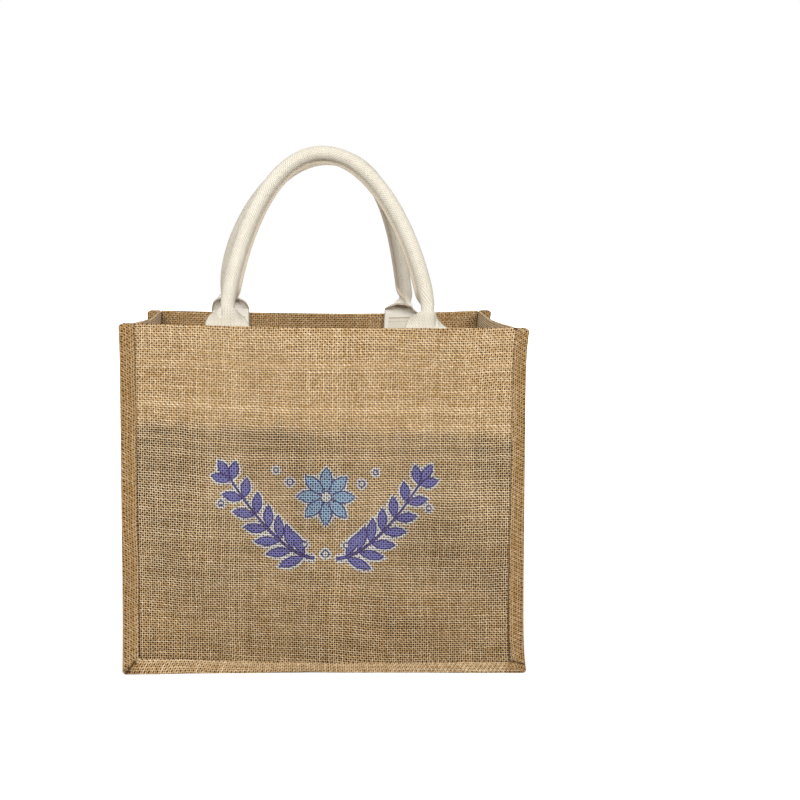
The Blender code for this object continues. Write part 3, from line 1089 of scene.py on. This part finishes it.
def webbing_edge(opened, radius):
    """Half of the webbing's middle layer across the handle, from the back of the handle to its edge:
    (towards the seam, sideways, place on the cloth). Closed, it is half a round with a standing lip.
    Opened, it is flat."""
    closed = 1 - opened
    gap = math.asin((WEBBING_DRAWN / 2 + 0.0001) / radius)
    around = (math.pi - gap) * radius
    stretch = blend(1.0, WEBBING_WIDTH / 2 / (around + SEAM_WIDTH), opened)
    turn = (math.pi - gap) * closed / ARC_STEPS
    lip_turn = -(math.pi / 2 - gap) * closed / 2
    pieces = [(around * stretch / ARC_STEPS, turn)] * ARC_STEPS
    pieces += [(SEAM_WIDTH * stretch / LIP_STEPS, lip_turn)] * 2
    pieces += [(SEAM_WIDTH * stretch / LIP_STEPS, 0.0)] * (LIP_STEPS - 2)
    edge = []
    heading = 0.0
    along = 0.0
    at = Vector((0.0, 0.0))
    for length, bend in pieces:
        heading += bend / 2
        at = at + Vector((math.sin(heading), math.cos(heading))) * length
        heading += bend / 2
        along += length
        edge.append((at.x, at.y, along))
    return edge


def opened_to(wide, radius):
    """The webbing's half when it is opened until it is so wide."""
    least, most = 0.0, 1.0
    for _ in range(24):
        opened = (least + most) / 2
        if max(across for _, across, _ in webbing_edge(opened, radius)) < wide:
            least = opened
        else:
            most = opened
    return webbing_edge(least, radius)


def shoulder_width(height, closed_at, drop, fullness, radius):
    """Half the width of the webbing as seen, at a height over the mouth."""
    down = min(max((closed_at - height) / drop, 0.0), 1.0)
    share = (1 - (1 - down) ** fullness) ** (1 / fullness)
    return blend(radius, WEBBING_WIDTH / 2, share)


def make_handle(name, face, top, top_rise, turned_by, neck_size):
    """A handle's webbing, ring by ring from left tab to right tab, and its two lines of stitches."""
    left, right = (leg_stations(top, top_rise, *leg) for leg in LEGS[name])
    stations = left + right[-2::-1]
    centres = []
    for x, height in stations:
        lean = HANDLE_LEAN * (max(height, 0.0) / top_rise) ** 1.2
        centres.append(Vector((x, face * (TAB_Y - lean), HEIGHT + height)))
    loft = bmesh.new()
    flat = {}
    rings = []
    seams = {1: [], -1: []}
    along_cloth = 0.0
    for i, (x, height) in enumerate(stations):
        leg = -1 if i < len(left) else 1
        along = (centres[min(i + 1, len(centres) - 1)] - centres[max(i - 1, 0)]).normalized()
        outwards = Vector((0, face, 0))
        outwards = (outwards - along * outwards.dot(along)).normalized()
        inner = along.cross(outwards) * -face
        shoulders = SHOULDERS[name, leg]
        closed_at = shoulders[1][0]
        turn = math.pi / 2 * smooth((height - closed_at) / (turned_by - closed_at))
        seam = inner * math.sin(turn) - outwards * math.cos(turn)
        sideways = along.cross(seam)
        facing = math.copysign(1, sideways.x) if turn < 0.1 else 1.0
        size = blend(neck_size, 1.0, smooth((height - NECK_HEIGHT) / (ROPE_END - NECK_HEIGHT)))
        radius = ROPE_RADIUS * size - WEBBING_DRAWN / 2
        back = centres[i] - seam * radius * smooth(height / closed_at)
        if i:
            along_cloth += (centres[i] - centres[i - 1]).length
        wide = {side: shoulder_width(height, *shoulders[side], radius) for side in (1, -1)}
        one, other = (opened_to(wide[side * facing], radius) for side in (1, -1))
        section = [(toward, -across, -place) for toward, across, place in reversed(other)]
        ring = []
        for toward_seam, across, place in section + [(0.0, 0.0, 0.0)] + one:
            for crease, lowest, highest, depth in CREASES[name, leg]:
                fading = max(0.0, 1 - (2 * (height - lowest) / (highest - lowest) - 1) ** 2)
                off = (across * facing - crease) / CREASE_WIDTH
                toward_seam += depth * fading * math.exp(-off * off)
            vert = loft.verts.new(settle(*(back + seam * toward_seam + sideways * across)))
            flat[vert] = (place, along_cloth)
            ring.append(vert)
        rings.append(ring)
        if height > closed_at + SEAM_START:
            for side in (1, -1):
                root = ring[len(ring) // 2 + side * (ARC_STEPS + 2)].co
                seams[side].append(root + sideways * side * (WEBBING_DRAWN / 2 + THREAD_RADIUS / 2))
    for ring, following in zip(rings, rings[1:]):
        for i in range(len(ring) - 1):
            loft.faces.new((ring[i], ring[i + 1], following[i + 1], following[i]))
    webbing = thickened(name + "_webbing", cloth_mesh(name, loft, flat), WEBBING_DRAWN)
    return webbing, list(seams.values())


COTTON_LIGHT = (0.84, 0.785, 0.67, 1)
COTTON_DEEP = (0.36, 0.295, 0.18, 1)
# painted light for the shaded hollow behind the back handle's neck
COTTON_PAINTED_LIGHT = (0.97, 0.93, 0.83, 1)
# painted shadow along the webbing's edges and at the patches' top edges
COTTON_EDGE_SHADOW = (0.27, 0.165, 0.07, 1)
COTTON_WARP_PITCH = 0.00122
COTTON_WEFT_PITCH = 0.00126
COTTON_COVER = 0.90
# how far in from the webbing's edges the painted brown shadow begins and is full
EDGE_SHADOW_IN = (0.0009, 0.0003)
# from and to which height over the mouth the painted light in the hollow fades
HOLLOW_TOP = (0.012, 0.020)


def cotton(name, seed, painted_lift=0.0, hollow_painted_light=False):
    """Cream cotton webbing: soft, pale yarns in a close weave, with painted brown shadow along its
    edges.
    The third argument makes it paler all over, and the fourth only in the hollow behind its neck; both
    are painted light."""
    made, tree, shader = new_material(name, 0.85, 0.25, 0.20)
    cloth = put(tree, "ShaderNodeUVMap", uv_map="cloth")
    yarns = woven(
        cloth,
        warp_pitch=COTTON_WARP_PITCH,
        weft_pitch=COTTON_WEFT_PITCH,
        repeat=2.0,
        warp_cover=COTTON_COVER,
        weft_cover=COTTON_COVER,
        uneven=0.5,
        slack=0.8,
        seed=float(seed),
    )
    where = put(tree, "ShaderNodeTexCoord", output="Object")
    grubby = put(tree, "ShaderNodeTexNoise", {"Vector": where, "Scale": 22.0, "Detail": 3.0})
    # painted shade: the yarns are drawn darker down their flanks
    lit = rise(yarns["Height"], -0.1, 1.0)
    tone = lit * 0.70 + yarns["Warp"] * 0.32 + 0.04 + yarns["Shade"] * 0.16
    # the third argument adds painted light here
    tone = tone + (grubby - 0.5) * 0.3 + painted_lift
    colour = mixed(rise(tone, 0.0, 1.0), COTTON_DEEP, COTTON_LIGHT)
    across, along, _ = parts_of(cloth)
    # painted shadow: brown along the webbing's long edges and at one cut end, the patches' top edges
    # among them
    edge_shadow = rise(abs(across), *(WEBBING_WIDTH / 2 - inward for inward in EDGE_SHADOW_IN))
    end_shadow = 1 - rise(abs(along), 0.0005, 0.0012)
    colour = mixed(reckon("MAXIMUM", edge_shadow * 0.4, end_shadow * 0.8), colour, COTTON_EDGE_SHADOW)
    # painted light: the shaded hollow behind the back handle's neck is drawn pale
    if hollow_painted_light:
        facing = put(tree, "ShaderNodeNewGeometry", output="True Normal")
        hollow = 1 - rise(parts_of(where)[2], *(HEIGHT + height for height in HOLLOW_TOP))
        hollow = hollow * (1 - rise(parts_of(facing)[1], -0.3, 0.1))
        colour = mixed(hollow * (1 - edge_shadow) * 0.8, colour, COTTON_PAINTED_LIGHT)
    plug(colour, shader.inputs["Base Color"])
    plug(bump(yarns["Height"], 0.0003), shader.inputs["Normal"])
    return made


handle_seams = []
for name, face, *shape in HANDLES:
    handle, seams = make_handle(name, face, *shape)
    handle_seams += seams
    dress(handle, cotton("cotton_" + name, 3, hollow_painted_light=name == "handle_back"))
    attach(handle, "root")
    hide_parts(name)


# Squares of the same webbing are sewn over the flat ends of the handles, inside the mouth. They start
# a little below it and end level with the handles' cut ends.
PATCH = 0.0015
PATCH_TOP = HEIGHT - 0.004
PATCH_LENGTH = 0.034
PATCH_Y = TAB_Y - WEBBING / 2 - GAP - PATCH / 2
# painted light: the patches inside the mouth are drawn paler all over
patch_finish = cotton("cotton_patch", 4, 0.12)


def patch_place(tab, face):
    """Where a column and a row of one patch cross, on the bag and on the flat webbing."""

    def place(x, z):
        return settle(x, face * PATCH_Y, z), (x - tab, z - PATCH_TOP)

    return place


for name, face, *_ in HANDLES:
    for side, (tab, *_) in zip(("left", "right"), LEGS[name]):
        node = name.replace("handle", "patch") + "_" + side
        columns = steps(tab - WEBBING_WIDTH / 2, tab + WEBBING_WIDTH / 2, WEBBING_STEP)
        rows = steps(PATCH_TOP - PATCH_LENGTH, PATCH_TOP, WEBBING_STEP)
        patch = sew(node + "_webbing", columns, rows, patch_place(tab, face), PATCH)
        dress(patch, patch_finish)
        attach(patch, "root")
        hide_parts(node)


# Everything is sewn with thick thread: the binding all round through three layers of cloth, the hem,
# the handle ends in boxes through the panels, the patches over them, and each handle's flange. Each
# stitch is a short round of thread lying in the cloth.
STITCH_LENGTH = 0.0030
STITCH_HALF = 0.42  # share of the stitch's length
STITCH_ASKEW = 0.12
STITCH_SIZES = (0.85, 1.1)
THREAD_TWISTS = 9000.0
THREAD_COLOURS = {
    # thread: colour, lighter colour
    "jute_thread": ((0.40, 0.27, 0.13, 1), (0.66, 0.50, 0.29, 1)),
    "pale_thread": ((0.62, 0.50, 0.33, 1), (0.86, 0.77, 0.60, 1)),
    "handle_thread": ((0.40, 0.31, 0.18, 1), (0.66, 0.57, 0.42, 1)),
}
BINDING_STITCH_IN = 0.0026
TAB_BOX_TOP = 0.0060
TAB_BOX_FOOT = 0.0300
TAB_BOX_MIDDLE = 0.0222
TAB_BOX_IN = 0.0030
PATCH_BOX_DROP = 0.0020
HEM_STITCH_DROP = 0.0345
HEM_STITCH_IN = 0.0030
FOOT_STITCH_HEIGHT = 0.0032
FOOT_STITCH_OUT = (0.060, 0.168)
LINE_STEP = 0.004


def thread(name):
    """Twisted thread, seen as fine slanting bands of two shades."""
    made, tree, shader = new_material(name, 0.75, 0.2, 0.25)
    deep, light = THREAD_COLOURS[name]
    where = put(tree, "ShaderNodeTexCoord", output="Object")
    x, y, z = parts_of(where)
    twist = reckon("SINE", (x + y + z) * THREAD_TWISTS) * 0.5 + 0.5
    worn = put(tree, "ShaderNodeTexNoise", {"Vector": where, "Scale": 300.0, "Detail": 1.0})
    plug(mixed(twist * 0.5 + worn * 0.5, deep, light), shader.inputs["Base Color"])
    plug(bump(twist, 0.0001), shader.inputs["Normal"])
    return made


GEOMETRY = ("Geometry", "NodeSocketGeometry")
MATERIAL = ("Material", "NodeSocketMaterial")


def repeat_tree(name, sizes):
    """An empty Geometry Nodes tree that takes a mesh, named sizes and a material."""
    inputs = [GEOMETRY] + [(size, NUMBER) for size in sizes] + [MATERIAL]
    return new_group(name, inputs, [GEOMETRY], "GeometryNodeTree")


def beside(source, output):
    """Another output of the node that a source comes from."""
    return Reckoned(source.tree, source.socket.node.outputs[output])


def placed(shape, points, turned, scale, material, ready):
    """Sets the shape at every point, as faces of their own, and ends the tree."""
    tree = points.tree
    sockets = {"Points": points, "Instance": shape, "Rotation": turned, "Scale": scale}
    instances = put(tree, "GeometryNodeInstanceOnPoints", sockets)
    real = put(tree, "GeometryNodeRealizeInstances", {0: instances})
    rounded = put(tree, "GeometryNodeSetShadeSmooth", {"Geometry": real})
    finished = put(tree, "GeometryNodeSetMaterial", {"Geometry": rounded, "Material": material})
    plug(finished, ready.inputs[0])


def random_between(tree, low, high, seed):
    """A random size from low to high, or a random vector, from a fixed seed."""
    first, output, kind = (0, 0, "FLOAT_VECTOR") if isinstance(low, tuple) else (2, 1, "FLOAT")
    sockets = {first: low, first + 1: high, "Seed": seed}
    return put(tree, "FunctionNodeRandomValue", sockets, output=output, data_type=kind)


def stitch_tree():
    """Stitches along edges: a lens of thread at even distances, each a little out of line."""
    tree, given, ready = repeat_tree("stitches", ["Stitch Length", "Thread Radius"])
    line = put(tree, "GeometryNodeMeshToCurve", {"Mesh": given["Geometry"]})
    dotted = {"Curve": line, "Length": given["Stitch Length"]}
    points = put(tree, "GeometryNodeCurveToPoints", dotted, mode="LENGTH")
    tangent = {"Vector": beside(points, "Tangent")}
    turned = put(tree, "FunctionNodeAlignRotationToVector", tangent, axis="X")
    askew = random_between(tree, (-STITCH_ASKEW,) * 3, (STITCH_ASKEW,) * 3, 4)
    turned = put(tree, "FunctionNodeRotateRotation", {0: turned, 1: askew}, rotation_space="LOCAL")
    lens = put(tree, "GeometryNodeMeshUVSphere", {"Segments": 6, "Rings": 5, "Radius": 1.0})
    long = point(given["Stitch Length"] * STITCH_HALF, given["Thread Radius"], given["Thread Radius"])
    lens = put(tree, "GeometryNodeTransform", {"Geometry": lens, "Scale": long})
    placed(lens, points, turned, random_between(tree, *STITCH_SIZES, 9), given["Material"], ready)
    return tree


def sown(name, mesh, tree, sizes, material):
    """Runs the tree on the mesh and keeps what it makes as a plain piece."""
    made = put_up(name, mesh)
    repeat = made.modifiers.new(tree.name, "NODES")
    repeat.node_group = tree
    inputs = [socket for socket in tree.interface.items_tree if socket.in_out == "INPUT"]
    keys = {socket.name: socket.identifier for socket in inputs}
    for size, value in (sizes | {"Material": material}).items():
        repeat[keys[size]] = value
    plain(made)
    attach(made, "root")


def line_mesh(name, lines):
    """A mesh of edges along each line of points."""
    joined = [place for line in lines for place in line]
    edges = []
    start = 0
    for line in lines:
        edges += [(start + i, start + i + 1) for i in range(len(line) - 1)]
        start += len(line)
    mesh = bpy.data.meshes.new(name)
    mesh.from_pydata(joined, edges, [])
    return mesh


def box_line(x, half, top, foot, depth):
    """Round a box on a panel, from corner to corner."""
    corners = [(x - half, top), (x - half, foot), (x + half, foot), (x + half, top), (x - half, top)]
    line = []
    for (x1, z1), (x2, z2) in zip(corners, corners[1:]):
        shares = steps(0, 1, LINE_STEP / math.hypot(x2 - x1, z2 - z1))
        line += [settle(blend(x1, x2, share), depth, blend(z1, z2, share)) for share in shares]
    return line


def flat_line(start, end, z, depth):
    """Straight across a panel."""
    return [settle(x, depth, z) for x in steps(start, end, LINE_STEP)]


binding_lines = []
panel_lines = []
pale_lines = []
patch_lines = []
binding_top = BINDING_Y + JUTE / 2
panel_top = PANEL_Y + JUTE / 2
patch_top = PATCH_Y - PATCH / 2
for name, face, *_ in HANDLES:
    line = []
    for stretch, position in gusset_rows():
        if "hem" in stretch:
            continue
        start = FLANGE - binding_width(seam_share(stretch, position)) + BINDING_STITCH_IN
        x, z, _ = seam_point(stretch, position, start)
        line.append(settle(x, face * (binding_top + lifted(x, z)), z))
    binding_lines.append(line)
    line = []
    for x in steps(*FOOT_STITCH_OUT, LINE_STEP):
        depth = face * (binding_top + lifted(x, FOOT_STITCH_HEIGHT))
        line.append(settle(x, depth, FOOT_STITCH_HEIGHT))
    pale_lines.append(line)
    hem_end = WALL_OUT - HEM_STITCH_IN
    panel_lines.append(flat_line(-hem_end, hem_end, HEIGHT - HEM_STITCH_DROP, face * panel_top))
    for tab, *_ in LEGS[name]:
        half = WEBBING_WIDTH / 2 - TAB_BOX_IN
        top = HEIGHT - TAB_BOX_TOP
        foot = HEIGHT - TAB_BOX_FOOT
        panel_lines.append(box_line(tab, half, top, foot, face * panel_top))
        panel_lines.append(flat_line(tab - half, tab + half, HEIGHT - TAB_BOX_MIDDLE, face * panel_top))
        patch_lines.append(box_line(tab, half, top - PATCH_BOX_DROP, foot, face * patch_top))

STITCHES = stitch_tree()
for name, lines, finish, slot in (
    ("binding_stitches", binding_lines, "jute_thread", "jute"),
    ("binding_foot_stitches", pale_lines, "pale_thread", "jute"),
    ("panel_stitches", panel_lines, "jute_thread", "jute"),
    ("patch_stitches", patch_lines, "handle_thread", "cotton"),
    ("handle_stitches", handle_seams, "handle_thread", "cotton"),
):
    sizes = {"Stitch Length": STITCH_LENGTH, "Thread Radius": THREAD_RADIUS}
    sown(name, line_mesh(name, lines), STITCHES, sizes, thread(finish))


# Jute is hairy: short stiff fibres stand off the cloth all over. They are bent hairs, scattered over
# the front, the back, the sides and the folded edges at the mouth.
FIBRE_LENGTH = 0.0070
FIBRE_RADIUS = 0.00006
FIBRES_PER_AREA = 5200.0
FIBRE_SIZES = (0.35, 1.25)
FIBRE_SPIN = ((0.0, -0.25, 0.0), (0.0, 0.30, 6.28))
SKIN_STEP = 0.012
SKIN_IN = 0.001
SKIN_FOOT = 0.010
FIBRE_COLOURS = ((0.50, 0.33, 0.15, 1), (0.90, 0.74, 0.50, 1))


def fibre_tree():
    """Fibres scattered over faces, each a bent hair that leans over the cloth."""
    tree, given, ready = repeat_tree("fibres", ["Length", "Radius", "Density"])
    scattered = {"Mesh": given["Geometry"], "Density": given["Density"], "Seed": 12}
    points = put(tree, "GeometryNodeDistributePointsOnFaces", scattered, distribute_method="RANDOM")
    normal = {"Vector": beside(points, "Normal")}
    turned = put(tree, "FunctionNodeAlignRotationToVector", normal, axis="Z")
    spin = random_between(tree, *FIBRE_SPIN, 21)
    turned = put(tree, "FunctionNodeRotateRotation", {0: turned, 1: spin}, rotation_space="LOCAL")
    length = given["Length"]
    bent = {
        "Resolution": 4,
        "Start": point(length * -0.2, 0.0, -0.0002),
        "Middle": point(length * 0.35, length * 0.12, length * 0.20),
        "End": point(length * 0.8, length * -0.1, length * 0.22),
    }
    hair = put(tree, "GeometryNodeCurveQuadraticBezier", bent)
    ring = put(tree, "GeometryNodeCurvePrimitiveCircle", {"Resolution": 3, "Radius": given["Radius"]})
    tube = {"Curve": hair, "Profile Curve": ring, "Fill Caps": True}
    hair = put(tree, "GeometryNodeCurveToMesh", tube)
    placed(hair, points, turned, random_between(tree, *FIBRE_SIZES, 33), given["Material"], ready)
    return tree


def fibre_finish():
    """Fibres from straw to brown."""
    made, tree, shader = new_material("jute_fibre", 0.8, 0.1, 0.25)
    where = put(tree, "ShaderNodeTexCoord", output="Object")
    shade = put(tree, "ShaderNodeTexNoise", {"Vector": where, "Scale": 180.0, "Detail": 1.0})
    plug(mixed(rise(shade, 0.3, 0.7), *FIBRE_COLOURS), shader.inputs["Base Color"])
    return made


def skin_mesh():
    """The outer faces of the bag, and a narrow band along the mouth, where fibres grow."""
    skin = bmesh.new()
    wide = steps(-WIDTH / 2 + SKIN_IN, WIDTH / 2 - SKIN_IN, SKIN_STEP)
    high = steps(SKIN_FOOT, HEIGHT - SKIN_IN, SKIN_STEP)
    deep = steps(-WALL_REACH, WALL_REACH, SKIN_STEP)

    def strip(rows):
        """Faces between rows of places that run the same way."""
        verts = [[skin.verts.new(settle(*place)) for place in row] for row in rows]
        for low, above in zip(verts, verts[1:]):
            for i in range(len(low) - 1):
                skin.faces.new((low[i], low[i + 1], above[i + 1], above[i]))

    for face in (-1, 1):
        turned = wide if face < 0 else wide[::-1]
        strip([[(x, face * panel_top, z) for x in turned] for z in high])
        edge = face * (PANEL_Y - FOLD_RADIUS)
        band = (edge + face * SKIN_IN, edge - face * SKIN_IN)
        strip([[(x, y, HEIGHT) for x in turned] for y in band])
    for side in (-1, 1):
        turned = deep[::-1] if side < 0 else deep
        strip([[(side * (WALL_OUT + JUTE / 2), y, z) for y in turned] for z in high])
    return as_mesh("skin", skin)


sown(
    "jute_fibres",
    skin_mesh(),
    fibre_tree(),
    {"Length": FIBRE_LENGTH, "Radius": FIBRE_RADIUS, "Density": FIBRES_PER_AREA},
    fibre_finish(),
)


# The bag stands on a wide white table in an even white surround, with a large soft light high at the
# front left, a weaker one at the front right and the weakest behind.
TABLE_RADIUS = 6.0
TABLE_WHITE = (0.93, 0.93, 0.93, 1)
TABLE_UNSEEN = (0.45, 0.44, 0.42, 1)
WORLD_STRENGTH = 0.40
circle = bmesh.new()
bmesh.ops.create_circle(circle, cap_ends=True, segments=96, radius=TABLE_RADIUS)
table = put_up("table", as_mesh("table", circle))
paper, paper_tree, paper_shader = new_material("table_white", 0.8, 0.0, 0.1)
where = put(paper_tree, "ShaderNodeTexCoord", output="Object")
from_bag = put(paper_tree, "ShaderNodeVectorMath", {0: where}, output="Value", operation="LENGTH")
seen = put(paper_tree, "ShaderNodeLightPath", output="Is Camera Ray")
plug(mixed(seen, TABLE_UNSEEN, TABLE_WHITE), paper_shader.inputs["Base Color"])
plug((1.0, 1.0, 1.0, 1), paper_shader.inputs["Emission Color"])
plug(seen * (0.45 + rise(from_bag, 0.25, 1.5) * 0.55), paper_shader.inputs["Emission Strength"])
dress(table, paper)

world = bpy.data.worlds.new("studio")
world.use_nodes = True
world_tree = world.node_tree
plug((1.0, 1.0, 1.0, 1), world_tree.nodes["Background"].inputs["Color"])
seen = put(world_tree, "ShaderNodeLightPath", output="Is Camera Ray")
plug(WORLD_STRENGTH + seen * (1 - WORLD_STRENGTH), world_tree.nodes["Background"].inputs["Strength"])
bpy.context.scene.world = world

LIGHTS = [
    # name, place, watts
    ("key", (-1.90, -4.10, 2.60), 149.0),
    ("fill", (2.10, -4.10, 2.45), 116.0),
    ("back", (0.40, 4.30, 2.60), 80.0),
]
LIGHT_SIZE = 2.4
LIT_PLACE = (0.0, 0.0, 0.2)
for name, place, watts in LIGHTS:
    light = bpy.data.lights.new(name, "AREA")
    light.size = LIGHT_SIZE
    light.energy = watts
    lamp = put_up(name, light)
    lamp.location = place
    lamp.rotation_euler = (Vector(LIT_PLACE) - Vector(place)).to_track_quat("-Z", "Y").to_euler()

# The camera stands about a metre in front of the bag and a little above it. It looks slightly down,
# is turned and tilted a little, and its picture is shifted to one side.
EYE = (-0.0303, -1.0835, 0.3755)
YAW = math.radians(-2.86)
PITCH = math.radians(-5.29)
ROLL = math.radians(0.85)
LENS = 52.3
SENSOR = 36.0
SHIFT = 0.0625

camera = bpy.data.cameras.new("camera")
camera.lens = LENS
camera.sensor_width = SENSOR
camera.shift_x = SHIFT
camera.shift_y = -SHIFT
camera.clip_start = 0.01
camera_object = put_up("camera", camera)
forward = Vector((-math.sin(YAW) * math.cos(PITCH), math.cos(YAW) * math.cos(PITCH), math.sin(PITCH)))
level = Vector((math.cos(YAW), math.sin(YAW), 0.0))
upright = level.cross(forward)
right = level * math.cos(ROLL) + upright * math.sin(ROLL)
up = upright * math.cos(ROLL) - level * math.sin(ROLL)
turned = Matrix((right, up, -forward)).transposed()
camera_object.matrix_world = Matrix.Translation(EYE) @ turned.to_4x4()
bpy.context.scene.camera = camera_object
bpy.context.scene.view_settings.view_transform = "Standard"
